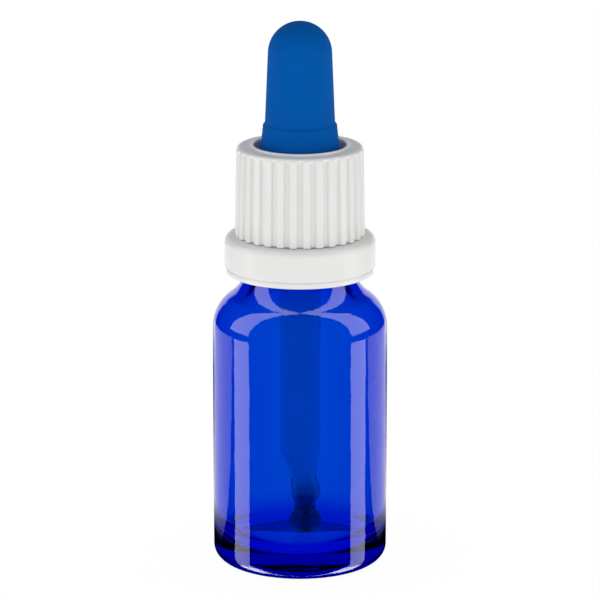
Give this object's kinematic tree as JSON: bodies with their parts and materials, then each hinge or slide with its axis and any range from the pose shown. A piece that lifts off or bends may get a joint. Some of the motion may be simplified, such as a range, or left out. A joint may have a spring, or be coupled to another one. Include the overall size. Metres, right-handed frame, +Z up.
{
  "type": "dropper bottle",
  "caption": "Small cobalt glass bottle with a ribbed screw cap, tamper collar and a rubber-bulb glass dropper that unscrews and lifts out.",
  "frame": {"origin": "middle of the circle that the bottle stands on", "axes": "+Z up along the bottle's axis, towards the bulb; the pipette's tip is bent a little towards +X"},
  "size_m": [0.0286, 0.0286, 0.0899],
  "materials": {
    "cobalt_glass": "smooth moulded glass, transparent cobalt blue",
    "clear_glass": "smooth drawn glass tube, fire polished",
    "white_plastic": "moulded polypropylene, satin gloss",
    "blue_rubber": "matte moulded rubber"
  },
  "bodies": {
    "bottle": {"bottle": "cobalt_glass"},
    "collar": {"tamper_ring": "white_plastic", "tamper_bridges": "white_plastic"},
    "dropper": {"bulb": "blue_rubber", "pipette": "clear_glass"},
    "cap": {"screw_cap": "white_plastic"}
  },
  "joints": [
    {"name": "collar_turn", "type": "hinge", "parent": "bottle", "child": "collar", "pos_m": [0, 0, 0.0518], "axis": [0, 0, 1], "continuous": true},
    {"name": "dropper_lift", "type": "slide", "parent": "bottle", "child": "dropper", "axis": [0, 0, 1], "range_m": [0, 0.063]},
    {"name": "cap_turn", "type": "hinge", "parent": "dropper", "child": "cap", "pos_m": [0, 0, 0.0625], "axis": [0, 0, 1], "range_deg": [0, 7560]}
  ],
  "couplings": [
    {"joint": "dropper_lift", "follows": "cap_turn", "m_per_rad": 0.00047746}
  ]
}
